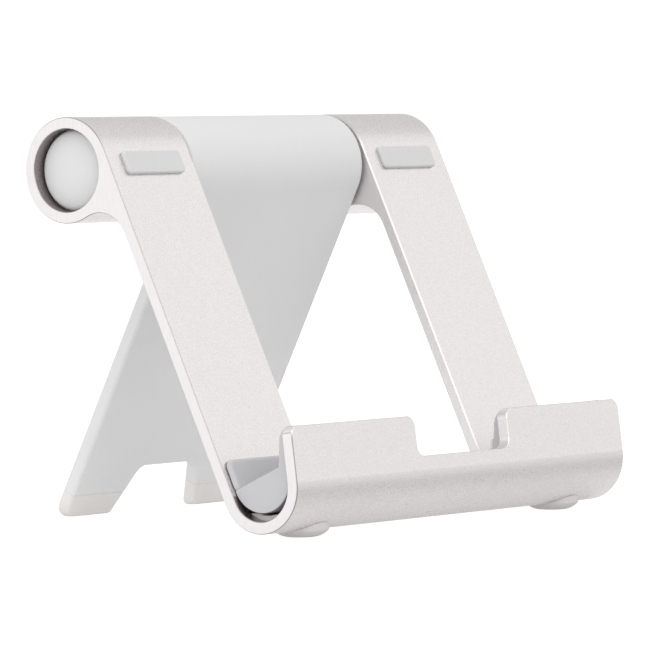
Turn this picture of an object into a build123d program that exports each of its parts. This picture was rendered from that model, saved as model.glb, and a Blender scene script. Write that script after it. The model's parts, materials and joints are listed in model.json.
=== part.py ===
from build123d import *
import os
from math import cos, radians, sin, sqrt

os.makedirs("parts", exist_ok=True)

# A folding tablet stand. X runs along the hinge, the tablet faces -Y and Z is up.
# The origin is on the table, at the middle of the stand's outline.

# Driving dimensions, in millimetres and degrees.
frame_width = 120.0
wall = 2.6                      # extruded wall of the frame
plate_lean = 25.05              # back plate, from vertical
plate_length = 81.4             # flat of the back plate, from the hinge to the channel
knuckle_radius = 11.37
knuckle_bore = 8.9
knuckle_blend = 7.5             # hollow fillet between a knuckle and the back of the plate
channel_inner = 7.4             # radius of the channel floor
lip_lean = 7.54                 # front lip, from vertical
lip_height = 11.7               # flat of the lip above the channel's centre
lip_corner = 2.2
notch_half = 16.8
notch_floor = 3.0               # height of the notch's edge above the channel's centre
notch_corner = 2.4
arm_inside = 31.36              # half the width of the window between the two arms
window_end = 83.2               # window's lower edge, from the hinge down the plate
window_corner = 3.0
edge_break = 0.15               # chamfer round the frame's ends, the lip and the notch
window_break = 0.3              # the same round the window's sides

leg_lean = 26.6                 # rear leg, from vertical
leg_half = 30.66
leg_thickness = 3.32
leg_round = 0.9                 # rounding of the leg's edges, all the way round its outline
barrel_radius = 11.3
barrel_bore = 8.5
barrel_blend = 4.0
gap_top = 70.5                  # top of the cut-out between the toes, from the hinge
gap_half = 9.93
gap_flare = 0.41                # widening of the cut-out for each millimetre down
gap_corner = 3.0
toe_corner = 3.6
toe_inner_corner = 1.4
shoe_line = 75.24               # where a rubber shoe begins, from the hinge
seam_break = 0.15               # chamfer on both sides of the seam at a shoe
tongue_thickness = 1.4
tongue_inset = 2.2
tongue_length = 4.0

foot_x = 46.0
foot_radius = 6.0
foot_proud = 1.3                # below the channel's underside
foot_flat = 2.5                 # flat in the middle of the foot's domed underside
foot_rise = 1.5                 # height of the dome, up to the foot's side
foot_edge = 0.7
stem_radius = 3.0
flange_half = 11.0
flange_thickness = 1.15
flange_rim = 5.9                # depth of the flange's upper edges below the channel's centre

insert_end = 58.7
insert_start = 18.1
shelf_drop = 2.04               # shelf above the channel's centre, along the plate
shelf_front = 5.4               # shelf's front edge, outwards from the channel's centre
insert_belly = 5.6              # depth of the insert's round underside below the channel's centre
insert_seat = 1.0               # height above the channel's centre where the underside leaves the walls
insert_gap = 0.05
back_pad_thickness = 1.3
back_pad_top = 72.5
back_pad_start = 38.0
back_pad_corner = 2.0
liner_waist = (5.74, 10.5)      # liner's inner face near its top: outwards, upwards
liner_top = 11.9
liner_corner = 2.8
liner_crest = 6.3
liner_slope = 0.6               # fall of the liner's top from its outer to its inner end

arm_pad_ends = (36.0, 55.2)
arm_pad_top = 1.1
arm_pad_bottom = 6.4
arm_pad_thickness = 0.95
arm_pad_corner = 1.1

axle_radius = 3.0
axle_half = 54.2
hub_length = 12.0
bush_length = 12.0
running_fit = 0.05
thrust_washer_thickness = 0.6
thrust_washer_radius = 7.8
friction_washer_thickness = 1.0
friction_washer_radius = 7.5
spring_count = 4
spring_thickness = 0.6
spring_dish = 0.35
spring_radius = 6.25
nut_flats = 10.0
nut_height = 3.8
nut_collar_height = 1.2
nut_collar_radius = 4.4

cap_skirt_start = 52.5
cap_skirt_wall = 1.3
cap_shoulder = 56.0
cap_radius = 8.68
cap_rim = 57.4
cap_crown = 58.5
cap_edge = 0.9

# Directions seen from the side: down and out of the plate, up and out of the lip,
# down and out of the leg.
plate_down = Vector(0, -sin(radians(plate_lean)), -cos(radians(plate_lean)))
plate_out = Vector(0, -cos(radians(plate_lean)), sin(radians(plate_lean)))
lip_up = Vector(0, sin(radians(lip_lean)), cos(radians(lip_lean)))
lip_out = Vector(0, -cos(radians(lip_lean)), sin(radians(lip_lean)))
leg_down = Vector(0, sin(radians(leg_lean)), -cos(radians(leg_lean)))
leg_out = Vector(0, -cos(radians(leg_lean)), -sin(radians(leg_lean)))

# The hinge's place follows from the feet on the table and the outline's middle.
channel_outer = channel_inner + wall
channel_from_hinge = plate_out * (knuckle_radius + channel_inner) + plate_down * plate_length
hinge_height = channel_outer + foot_proud - channel_from_hinge.Z
leg_back = barrel_radius - leg_thickness
leg_reach = (hinge_height + leg_back * leg_out.Z) / -leg_down.Z
front_end = channel_from_hinge.Y - channel_outer
heel_trim = leg_round * (leg_down.Y / -leg_down.Z + 1 / -leg_down.Z - 1)
back_end = leg_back * leg_out.Y + leg_reach * leg_down.Y - heel_trim
hinge = Vector(0, -(front_end + back_end) / 2, hinge_height)
channel = hinge + channel_from_hinge

hinge_axis = Axis(hinge, (1, 0, 0))
plate_plane = Plane(origin=hinge, x_dir=(1, 0, 0), z_dir=plate_out)
lip_plane = Plane(origin=channel, x_dir=(1, 0, 0), z_dir=lip_out)
leg_plane = Plane(origin=hinge, x_dir=(1, 0, 0), z_dir=leg_out)
axle_plane = Plane(origin=hinge, x_dir=(1, 0, 0), z_dir=(0, -1, 0))


def plate_point(out, down):
    """Side-view point measured from the hinge, out of and down the back plate."""
    point = hinge + plate_out * out + plate_down * down
    return (point.Y, point.Z)


def lip_point(out, up):
    """Side-view point measured from the channel's centre, out of and up the lip."""
    point = channel + lip_out * out + lip_up * up
    return (point.Y, point.Z)


def channel_point(radius, angle):
    """Side-view point on a circle about the channel's centre, from +Y towards +Z."""
    return (channel.Y + radius * cos(radians(angle)), channel.Z + radius * sin(radians(angle)))


def save(part, name):
    """Label one finished piece and write its file."""
    part.label = name
    export_step(part, f"parts/{name}.step")


def save_pair(part, name):
    """Write a right-hand piece and its mirror image on the left."""
    save(part, f"{name}_right")
    save(part.mirror(Plane.YZ), f"{name}_left")


# Frame: one extruded section, then milled. The section is two knuckles' tube, the
# leaning plate, the round channel and the lip.
plate_angle = -plate_lean
lip_angle = -180 - lip_lean
floor_angle = (plate_angle + lip_angle) / 2
knuckle_corner = sqrt(knuckle_radius**2 - (knuckle_radius - wall) ** 2)

with BuildPart() as frame:
    with BuildSketch(Plane.YZ) as section:
        with Locations((hinge.Y, hinge.Z)):
            Circle(knuckle_radius)
        with BuildLine():
            Line(plate_point(knuckle_radius - wall, 0), channel_point(channel_outer, plate_angle))
            ThreePointArc(
                channel_point(channel_outer, plate_angle),
                channel_point(channel_outer, floor_angle),
                channel_point(channel_outer, lip_angle),
            )
            Polyline(
                lip_point(channel_outer, 0),
                lip_point(channel_outer, lip_height),
                lip_point(channel_inner, lip_height),
                lip_point(channel_inner, 0),
            )
            ThreePointArc(
                channel_point(channel_inner, lip_angle),
                channel_point(channel_inner, floor_angle),
                channel_point(channel_inner, plate_angle),
            )
            Polyline(
                channel_point(channel_inner, plate_angle),
                plate_point(knuckle_radius, 0),
                plate_point(knuckle_radius - wall, 0),
            )
        make_face()
        inner_corner = plate_point(knuckle_radius - wall, knuckle_corner)
        fillet(section.vertices().sort_by_distance(inner_corner)[0], knuckle_blend)
        with Locations((hinge.Y, hinge.Z)):
            Circle(knuckle_bore, mode=Mode.SUBTRACT)
    extrude(amount=frame_width / 2, both=True)

    # The window takes the middle of the knuckle tube and of the plate away.
    with BuildSketch(plate_plane.offset(-knuckle_radius - 1)):
        with BuildLine():
            FilletPolyline(
                (-arm_inside, knuckle_radius + 1),
                (-arm_inside, -window_end),
                (arm_inside, -window_end),
                (arm_inside, knuckle_radius + 1),
                radius=window_corner,
            )
            Line((arm_inside, knuckle_radius + 1), (-arm_inside, knuckle_radius + 1))
        make_face()
    extrude(amount=2 * knuckle_radius + 1.5, mode=Mode.SUBTRACT)

    # The notch in the lip leaves room for a cable or a home button.
    with BuildSketch(lip_plane.offset(channel_inner - 1)):
        with Locations((0, notch_floor)):
            Rectangle(2 * notch_half, lip_height, align=(Align.CENTER, Align.MIN))
    extrude(amount=wall + 2, mode=Mode.SUBTRACT)
    lip_edges = frame.edges().filter_by(Axis(channel, lip_out))
    fillet(lip_edges.filter_by(lambda edge: abs(edge.center().X) < notch_half + 0.1), notch_corner)
    lip_edges = frame.edges().filter_by(Axis(channel, lip_out))
    fillet(lip_edges.filter_by(lambda edge: abs(edge.center().X) > frame_width / 2 - 0.1), lip_corner)

    # Holes in the channel floor for the feet.
    with Locations(*[Location((side * foot_x, channel.Y, channel.Z)) for side in (-1, 1)]):
        Cylinder(stem_radius, channel_outer + 1, align=(Align.CENTER, Align.CENTER, Align.MAX), mode=Mode.SUBTRACT)

    # Fine chamfers round the cut faces: the window's sides first, then the ends and the lip.
    window_faces = frame.faces().filter_by(Axis.X)
    window_faces = window_faces.filter_by(lambda face: abs(abs(face.center().X) - arm_inside) < 0.1)
    chamfer(window_faces.edges(), window_break)
    other_faces = frame.faces().filter_by(Axis.X)
    other_faces = other_faces.filter_by(lambda face: abs(abs(face.center().X) - arm_inside) > 0.5)
    chamfer(other_faces.edges(), edge_break)

save(frame.part, "frame")


# Leg: a plate with two toes under a barrel, and rubber shoes on the toes. The blank is
# the whole of it, with no bore, down to the table.
leg_corner = sqrt(barrel_radius**2 - leg_back**2)
leg_front_reach = leg_reach - leg_thickness * leg_down.Y / -leg_down.Z
toe_inside = gap_half + gap_flare * (leg_reach - gap_top)


def leg_point(out, down):
    """Side-view point measured from the hinge, out of and down the leg."""
    point = hinge + leg_out * out + leg_down * down
    return (point.Y, point.Z)


with BuildPart() as leg_blank:
    with BuildSketch(Plane.YZ) as leg_section:
        with Locations((hinge.Y, hinge.Z)):
            Circle(barrel_radius)
        with BuildLine():
            Polyline(
                leg_point(leg_back, 0),
                leg_point(barrel_radius, 0),
                leg_point(barrel_radius, leg_front_reach),
                leg_point(leg_back, leg_reach),
                close=True,
            )
        make_face()
        inner_corner = leg_point(leg_back, leg_corner)
        fillet(leg_section.vertices().sort_by_distance(inner_corner)[0], barrel_blend)
    extrude(amount=leg_half, both=True)
    # The outline is cut level, so that the toes end flat on the table.
    with BuildSketch(leg_plane.offset(leg_back)):
        with BuildLine():
            FilletPolyline(
                (-leg_half, 2 * barrel_radius),
                (-leg_half, -leg_reach),
                (-toe_inside, -leg_reach),
                (-gap_half, -gap_top),
                (gap_half, -gap_top),
                (toe_inside, -leg_reach),
                (leg_half, -leg_reach),
                (leg_half, 2 * barrel_radius),
                radius=[toe_corner, toe_inner_corner, gap_corner, gap_corner, toe_inner_corner, toe_corner],
            )
            Line((leg_half, 2 * barrel_radius), (-leg_half, 2 * barrel_radius))
        make_face()
    extrude(amount=3 * barrel_radius, dir=(0, -1, 0), both=True, mode=Mode.INTERSECT)
    fillet(leg_blank.faces().filter_by(Axis.X).edges().filter_by(Axis(hinge, leg_down)), leg_round)


def toe_tongues():
    """The thin tongue inside each shoe, as a pair of blocks to add or to cut."""
    toe_width = leg_half - toe_inside
    with BuildPart() as tongues:
        with BuildSketch(leg_plane.offset(barrel_radius - leg_thickness / 2)):
            with Locations(*[(side * (leg_half - toe_width / 2), -shoe_line) for side in (-1, 1)]):
                Rectangle(toe_width - 2 * tongue_inset, 2 * tongue_length)
        extrude(amount=tongue_thickness / 2, both=True)
    return tongues.part


shoe_plane = Plane(origin=hinge + leg_down * shoe_line, x_dir=(1, 0, 0), z_dir=leg_down)

with BuildPart() as leg_shell:
    add(leg_blank.part)
    split(bisect_by=shoe_plane, keep=Keep.BOTTOM)
    chamfer(leg_shell.faces().filter_by(shoe_plane).edges(), seam_break)
    with BuildSketch(Plane.YZ):
        with Locations((hinge.Y, hinge.Z)):
            Circle(barrel_bore)
    extrude(amount=leg_half, both=True, mode=Mode.SUBTRACT)
    add(toe_tongues())

save(leg_shell.part, "leg_shell")

with BuildPart() as shoe:
    add(leg_blank.part)
    split(bisect_by=shoe_plane, keep=Keep.TOP)
    split(bisect_by=Plane.YZ, keep=Keep.TOP)
    chamfer(shoe.faces().filter_by(shoe_plane).edges(), seam_break)
    add(toe_tongues(), mode=Mode.SUBTRACT)

save_pair(shoe.part, "leg_shoe")


# Feet under the channel: a rubber disc outside, a stem through the wall and a curved
# flange that holds it on the channel floor.
foot_plane = Plane(origin=(foot_x, channel.Y, 0), x_dir=(1, 0, 0), z_dir=(0, -1, 0))

with BuildPart() as foot:
    with BuildSketch(foot_plane) as foot_section:
        with BuildLine():
            Polyline((foot_radius, foot_rise), (foot_radius, channel.Z), (0, channel.Z), (0, 0), (foot_flat, 0))
            TangentArc((foot_flat, 0), (foot_radius, foot_rise), tangent=(1, 0))
        make_face()
        fillet(foot_section.vertices().sort_by_distance((foot_radius, foot_rise))[0], foot_edge)
    revolve(axis=Axis(foot_plane.origin, (0, 0, 1)))
    with BuildSketch(Plane.YZ):
        with Locations((channel.Y, channel.Z)):
            Circle(channel_outer + 0.02)
    extrude(amount=frame_width, mode=Mode.SUBTRACT)
    with BuildSketch(Plane.YZ.offset(foot_x)):
        with Locations((channel.Y, channel.Z)):
            Circle(channel_inner - 0.02)
            Circle(channel_inner - flange_thickness, mode=Mode.SUBTRACT)
    extrude(amount=flange_half, both=True)
    split(bisect_by=Plane.XY.offset(channel.Z - flange_rim), keep=Keep.BOTTOM)
    with BuildSketch(Plane.XY.offset(channel.Z - channel_outer - 0.3)):
        with Locations((foot_x, channel.Y)):
            Circle(stem_radius)
    extrude(amount=wall + 0.9)

save_pair(foot.part, "channel_foot")


# Silicone inserts in the channel: a shelf for the tablet's edge, a pad up the arm
# behind it and a liner up the inside of the lip.
shelf_down = plate_length - shelf_drop
shelf_edge = plate_point(knuckle_radius + channel_inner + shelf_front, shelf_down)
seat_back = plate_point(knuckle_radius + insert_gap, plate_length - insert_seat)
seat_front = lip_point(channel_inner - insert_gap, insert_seat)

with BuildPart() as insert:
    with BuildSketch(Plane.YZ.offset(insert_start)):
        with BuildLine():
            Polyline(
                seat_back,
                plate_point(knuckle_radius + insert_gap, shelf_down),
                shelf_edge,
                lip_point(*liner_waist),
                lip_point(liner_crest, liner_top),
                lip_point(channel_inner - insert_gap, liner_top),
                seat_front,
            )
            ThreePointArc(seat_front, channel_point(insert_belly, floor_angle), seat_back)
        make_face()
    extrude(amount=insert_end - insert_start)
    # The liner's top falls inwards and is rounded off at both ends.
    with BuildSketch(lip_plane):
        with BuildLine():
            FilletPolyline(
                (insert_end, 0),
                (insert_end, liner_top),
                (insert_start, liner_top - liner_slope),
                (insert_start, 0),
                radius=liner_corner,
            )
            Polyline(
                (insert_start, 0),
                (insert_start - 1, 0),
                (insert_start - 1, liner_top + 1),
                (insert_end + 1, liner_top + 1),
                (insert_end + 1, 0),
                (insert_end, 0),
            )
        make_face()
    extrude(amount=channel_outer, mode=Mode.SUBTRACT)
    # Room for the folded leg behind the middle of the shelf.
    with BuildSketch(plate_plane.offset(knuckle_radius - 1)):
        with Locations((0, -plate_length)):
            Rectangle(2 * arm_inside + 1, 4 * channel_inner)
    extrude(amount=1.35, mode=Mode.SUBTRACT)
    with BuildSketch(plate_plane.offset(knuckle_radius)):
        with BuildLine():
            FilletPolyline(
                (back_pad_start, -plate_length),
                (back_pad_start, -back_pad_top),
                (insert_end, -back_pad_top),
                (insert_end, -plate_length),
                radius=back_pad_corner,
            )
            Line((insert_end, -plate_length), (back_pad_start, -plate_length))
        make_face()
    extrude(amount=back_pad_thickness)

save_pair(insert.part, "channel_insert")


# Arm pads: thin silicone rectangles high on the arms.
with BuildPart() as arm_pad:
    with BuildSketch(plate_plane.offset(knuckle_radius)):
        with Locations((sum(arm_pad_ends) / 2, -(arm_pad_top + arm_pad_bottom) / 2)):
            pad_length = arm_pad_ends[1] - arm_pad_ends[0]
            RectangleRounded(pad_length, arm_pad_bottom - arm_pad_top, arm_pad_corner)
    extrude(amount=arm_pad_thickness)
    outer_face = arm_pad.faces().sort_by(Axis(hinge, plate_out))[-1]
    fillet(outer_face.edges(), arm_pad_thickness / 2)

save_pair(arm_pad.part, "arm_pad")


# Hinge: everything below is turned about the hinge axis, worked outwards from the
# leg's barrel to the end cap.
def turned(points):
    """Revolve an outline given as (along X, distance from the hinge axis) corners."""
    with BuildPart() as piece:
        with BuildSketch(axle_plane):
            with BuildLine():
                Polyline(*points, close=True)
            make_face()
        revolve(axis=hinge_axis)
    return piece.part


def washer(start, thickness, radius, hole):
    """A flat ring on the hinge axis."""
    end = start + thickness
    return turned([(start, hole), (start, radius), (end, radius), (end, hole)])


with BuildPart() as axle:
    with BuildSketch(Plane.YZ):
        with Locations((hinge.Y, hinge.Z)):
            RegularPolygon(axle_radius, 6, major_radius=False)
    extrude(amount=leg_half - 0.3, both=True)
    with BuildSketch(Plane.YZ):
        with Locations((hinge.Y, hinge.Z)):
            Circle(axle_radius)
    extrude(amount=axle_half, both=True)
    chamfer(axle.faces().filter_by(Axis.X).sort_by(Axis.X)[0].edges(), 0.5)
    chamfer(axle.faces().filter_by(Axis.X).sort_by(Axis.X)[-1].edges(), 0.5)

save(axle.part, "axle")

with BuildPart() as hub:
    with BuildSketch(Plane.YZ.offset(leg_half - hub_length)):
        with Locations((hinge.Y, hinge.Z)):
            Circle(barrel_bore)
            RegularPolygon(axle_radius, 6, major_radius=False, mode=Mode.SUBTRACT)
    extrude(amount=hub_length)

save_pair(hub.part, "barrel_hub")

hole = axle_radius + running_fit
thrust_start = (leg_half + arm_inside - thrust_washer_thickness) / 2
friction_start = arm_inside + bush_length + running_fit
spring_start = friction_start + friction_washer_thickness
spring_pitch = spring_thickness + spring_dish
nut_start = spring_start + spring_count * spring_pitch

save_pair(washer(thrust_start, thrust_washer_thickness, thrust_washer_radius, hole), "thrust_washer")
save_pair(washer(arm_inside, bush_length, knuckle_bore, hole), "knuckle_bush")
save_pair(washer(friction_start, friction_washer_thickness, friction_washer_radius, hole), "friction_washer")

# Disc springs: shallow cones stacked face to face and back to back.
with BuildPart() as disc_springs:
    for index in range(spring_count):
        start = spring_start + index * spring_pitch
        inner = start + (spring_dish if index % 2 == 0 else 0)
        outer = start + (0 if index % 2 == 0 else spring_dish)
        cone = turned([
            (inner, hole),
            (outer, spring_radius),
            (outer + spring_thickness, spring_radius),
            (inner + spring_thickness, hole),
        ])
        add(cone)

save_pair(disc_springs.part, "disc_springs")

with BuildPart() as lock_nut:
    with BuildSketch(Plane.YZ.offset(nut_start)):
        with Locations((hinge.Y, hinge.Z)):
            RegularPolygon(nut_flats / 2, 6, major_radius=False)
    extrude(amount=nut_height)
    chamfer(lock_nut.faces().sort_by(Axis.X)[0].edges(), 0.4)
    with BuildSketch(Plane.YZ.offset(nut_start + nut_height)):
        with Locations((hinge.Y, hinge.Z)):
            Circle(nut_collar_radius)
    extrude(amount=nut_collar_height)
    with BuildSketch(Plane.YZ.offset(nut_start)):
        with Locations((hinge.Y, hinge.Z)):
            Circle(axle_radius)
    extrude(amount=nut_height + nut_collar_height, mode=Mode.SUBTRACT)

save_pair(lock_nut.part, "lock_nut")

with BuildPart() as end_cap:
    with BuildSketch(axle_plane) as cap_section:
        with BuildLine():
            TangentArc((cap_crown, 0), (cap_rim, cap_radius), tangent=(0, 1))
            Polyline(
                (cap_crown, 0),
                (cap_shoulder, 0),
                (cap_shoulder, knuckle_bore - cap_skirt_wall),
                (cap_skirt_start, knuckle_bore - cap_skirt_wall),
                (cap_skirt_start, knuckle_bore),
                (cap_shoulder, knuckle_bore),
                (cap_shoulder, cap_radius),
                (cap_rim, cap_radius),
            )
        make_face()
        rim_corner = cap_section.vertices().sort_by_distance((cap_rim, cap_radius))[0]
        fillet(rim_corner, cap_edge)
    revolve(axis=hinge_axis)

save_pair(end_cap.part, "end_cap")
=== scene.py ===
import json
import logging
import math
from collections.abc import Callable
from dataclasses import dataclass
from enum import Enum

import bmesh
import bpy
from mathutils import Matrix, Vector


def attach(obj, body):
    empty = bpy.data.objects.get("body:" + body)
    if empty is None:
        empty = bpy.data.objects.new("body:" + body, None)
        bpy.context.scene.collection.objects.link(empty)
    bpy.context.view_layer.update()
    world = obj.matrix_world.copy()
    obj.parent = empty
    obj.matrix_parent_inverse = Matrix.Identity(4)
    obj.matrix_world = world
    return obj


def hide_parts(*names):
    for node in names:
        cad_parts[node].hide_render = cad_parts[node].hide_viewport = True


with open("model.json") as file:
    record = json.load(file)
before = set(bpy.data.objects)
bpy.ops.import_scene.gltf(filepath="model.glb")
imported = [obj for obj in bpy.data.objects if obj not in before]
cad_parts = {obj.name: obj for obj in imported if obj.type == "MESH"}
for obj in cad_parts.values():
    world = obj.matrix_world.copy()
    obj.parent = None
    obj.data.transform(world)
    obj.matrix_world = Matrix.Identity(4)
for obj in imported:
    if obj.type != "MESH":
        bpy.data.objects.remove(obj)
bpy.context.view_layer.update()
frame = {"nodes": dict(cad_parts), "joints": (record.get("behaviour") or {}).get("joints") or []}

log = logging.getLogger("tablet_stand")
MM = 0.001
FULL_TURN = 2 * math.pi
WHITE = (1.0, 1.0, 1.0, 1.0)

Socket = bpy.types.NodeSocket
Node = bpy.types.Node
Triple = tuple[float, float, float]


class Side(Enum):
    """The end of the hinge a piece belongs to, seen by someone facing the tablet."""

    LEFT = -1
    RIGHT = 1

    @property
    def suffix(self) -> str:
        """The word that ends the names of this side's pieces."""
        return self.name.lower()


# ---- layout


ACROSS = Vector((1.0, 0.0, 0.0))


@dataclass(frozen=True)
class Flat:
    """A flat of the stand seen from the side: where it starts and which way it leans.

    Attributes:
        origin: The point it is measured from, in metres.
        out: Direction square to the flat, away from the metal.
        along: Direction down or up the flat.
    """

    origin: Vector
    out: Vector
    along: Vector

    def at(self, x: float, out: float, along: float) -> Vector:
        """Give a point from its place on the flat.

        Args:
            x: Place along the hinge, in millimetres.
            out: Distance square to the flat, in millimetres.
            along: Distance along the flat, in millimetres.

        Returns:
            The point, in metres.
        """
        return self.origin + (ACROSS * x + self.out * out + self.along * along) * MM


def leaning(origin: Vector, degrees: float, up: bool) -> Flat:
    """Make a flat that leans back from vertical and faces the tablet's user.

    Args:
        origin: The point it is measured from.
        degrees: Its lean from vertical.
        up: Whether distances along it run upwards.

    Returns:
        The flat.
    """
    sine, cosine = math.sin(math.radians(degrees)), math.cos(math.radians(degrees))
    way = 1.0 if up else -1.0
    return Flat(origin, Vector((0.0, -cosine, sine)), Vector((0.0, sine, cosine)) * way)


# The frame's own sizes: lengths in millimetres, leans in degrees from vertical.
HINGE = Vector(frame["joints"][0]["pos_m"])
KNUCKLE_RADIUS = 11.37
CHANNEL_RADIUS = 7.4
CHANNEL_DOWN = 81.4
PLATE_LEAN = 25.05
LIP_LEAN = 7.54
PLATE = leaning(HINGE, PLATE_LEAN, up=False)
CHANNEL = PLATE.at(0.0, KNUCKLE_RADIUS + CHANNEL_RADIUS, CHANNEL_DOWN)
LIP = leaning(CHANNEL, LIP_LEAN, up=True)


# ---- modelling


MERGE = 0.002 * MM
CUT_SLACK = 0.0005 * MM


class Shape:
    """A closed mesh in the making."""

    def __init__(self) -> None:
        """Start with an empty mesh."""
        self.mesh = bmesh.new()

    @classmethod
    def block(cls, flat: Flat, low: Triple, high: Triple) -> "Shape":
        """Make a block lying on a flat.

        Args:
            flat: The flat it is square to.
            low: Its first corner, as x, out and along in millimetres.
            high: The opposite corner.

        Returns:
            The block.
        """
        shape = cls()
        bmesh.ops.create_cube(shape.mesh, size=1.0)
        middle = flat.at(*[(a + b) / 2 for a, b in zip(low, high)])
        spans = [abs(b - a) * MM for a, b in zip(low, high)]
        axes = (ACROSS * spans[0], flat.out * spans[1], flat.along * spans[2])
        turn = Matrix(axes).transposed().to_4x4()
        seat = Matrix.Translation(middle) @ turn
        bmesh.ops.transform(shape.mesh, matrix=seat, verts=shape.mesh.verts)
        return shape

    @classmethod
    def extruded(cls, corners: list[Vector], arc_centre: Vector, steps: int, length: Vector) -> "Shape":
        """Extrude an outline whose last corner is joined to its first by an arc.

        Args:
            corners: The outline's corners, in order.
            arc_centre: Centre of the closing arc, which turns about X.
            steps: Number of the arc's segments.
            length: The extrusion.

        Returns:
            The solid.
        """
        shape = cls()
        mesh = shape.mesh
        verts = [mesh.verts.new(corner) for corner in corners]
        for first, second in zip(verts, verts[1:]):
            mesh.edges.new((first, second))
        start, end = corners[-1] - arc_centre, corners[0] - arc_centre
        angle = (math.atan2(end.z, end.y) - math.atan2(start.z, start.y)) % FULL_TURN
        bmesh.ops.spin(mesh, geom=[verts[-1]], cent=arc_centre, axis=ACROSS, angle=angle, steps=steps)
        bmesh.ops.remove_doubles(mesh, verts=mesh.verts, dist=MERGE)
        faces = bmesh.ops.edgeloop_fill(mesh, edges=mesh.edges)["faces"]
        grown = bmesh.ops.extrude_face_region(mesh, geom=faces)["geom"]
        moved = [item for item in grown if isinstance(item, bmesh.types.BMVert)]
        bmesh.ops.translate(mesh, verts=moved, vec=length)
        return shape

    @classmethod
    def turned(cls, corners: list[tuple[float, float]], steps: int = 128) -> "Shape":
        """Spin an outline about the hinge axis.

        Args:
            corners: The outline, as (place along the hinge, radius) in millimetres,
                from the axis round to the axis.
            steps: Number of segments round the axis.

        Returns:
            The solid.
        """
        shape = cls()
        mesh = shape.mesh
        verts = [mesh.verts.new(HINGE + Vector((x, -radius, 0.0)) * MM) for x, radius in corners]
        edges = [mesh.edges.new(pair) for pair in zip(verts, verts[1:])]
        outline = verts + edges
        bmesh.ops.spin(
            mesh, geom=outline, cent=HINGE, axis=ACROSS, angle=FULL_TURN, steps=steps, use_merge=True
        )
        bmesh.ops.remove_doubles(mesh, verts=mesh.verts, dist=MERGE)
        return shape

    def slice_off(self, point: Vector, normal: Vector) -> None:
        """Cut away what lies beyond a plane and close the cut.

        Args:
            point: A point on the plane.
            normal: The plane's normal, towards the side that goes.
        """
        mesh = self.mesh
        everything = list(mesh.verts) + list(mesh.edges) + list(mesh.faces)
        cut = bmesh.ops.bisect_plane(
            mesh, geom=everything, dist=CUT_SLACK, plane_co=point, plane_no=normal, clear_outer=True
        )
        edges = [item for item in cut["geom_cut"] if isinstance(item, bmesh.types.BMEdge)]
        bmesh.ops.holes_fill(mesh, edges=edges)

    def edges_where(
        self, low_deg: float, test: Callable[[bmesh.types.BMEdge], bool] | None = None
    ) -> list[bmesh.types.BMEdge]:
        """Find edges that turn by at least an angle.

        Args:
            low_deg: The least turn between the edge's faces, in degrees.
            test: A function of the edge that has to hold too.

        Returns:
            The edges.
        """
        least = math.radians(low_deg)
        sharp = [edge for edge in self.mesh.edges if edge.calc_face_angle(0.0) > least]
        return [edge for edge in sharp if test is None or test(edge)]

    def soften(self, edges: list[bmesh.types.BMEdge], radius_mm: float, segments: int) -> None:
        """Round some edges.

        Args:
            edges: The edges to round.
            radius_mm: Width of the rounding on each side, in millimetres.
            segments: Number of its segments.
        """
        bmesh.ops.bevel(
            self.mesh,
            geom=edges,
            offset=radius_mm * MM,
            offset_type="OFFSET",
            affect="EDGES",
            segments=segments,
            profile=0.5,
            material=-1,
            clamp_overlap=True,
        )

    def united(self, other: "Shape") -> "Shape":
        """Join another solid to this one.

        Args:
            other: The other solid.

        Returns:
            One solid.
        """
        blank, tool = self.draft("blank"), other.draft("tool")
        modifier = blank.modifiers.new("union", "BOOLEAN")
        modifier.operation = "UNION"
        modifier.solver = "EXACT"
        modifier.object = tool
        ready = blank.evaluated_get(bpy.context.evaluated_depsgraph_get())
        joined = Shape()
        joined.mesh.from_mesh(ready.to_mesh())
        for spare in (blank, tool):
            bpy.data.objects.remove(spare)
        bmesh.ops.remove_doubles(joined.mesh, verts=joined.mesh.verts, dist=MERGE)
        return joined

    def draft(self, name: str) -> bpy.types.Object:
        """Turn the mesh into an object that is linked to the scene.

        Args:
            name: The object's name.

        Returns:
            The object.
        """
        bmesh.ops.recalc_face_normals(self.mesh, faces=self.mesh.faces)
        data = bpy.data.meshes.new(name)
        self.mesh.to_mesh(data)
        self.mesh.free()
        piece = bpy.data.objects.new(name, data)
        bpy.context.scene.collection.objects.link(piece)
        return piece

    def finished(self, name: str, sharp_deg: float = 40.0) -> bpy.types.Object:
        """Shade the mesh smooth between its sharp edges and make its object.

        Args:
            name: The piece's name.
            sharp_deg: Least angle of an edge that stays sharp.

        Returns:
            The piece.
        """
        for face in self.mesh.faces:
            face.smooth = True
        for edge in self.mesh.edges:
            edge.smooth = edge.calc_face_angle(0.0) < math.radians(sharp_deg)
        piece = self.draft(name)
        even = piece.modifiers.new("even normals", "WEIGHTED_NORMAL")
        even.keep_sharp = True
        return piece


# ---- shading


MIX_COLOUR_A, MIX_COLOUR_B, MIX_COLOUR_OUT = 6, 7, 2
COMPARE_REACH = 2


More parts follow.
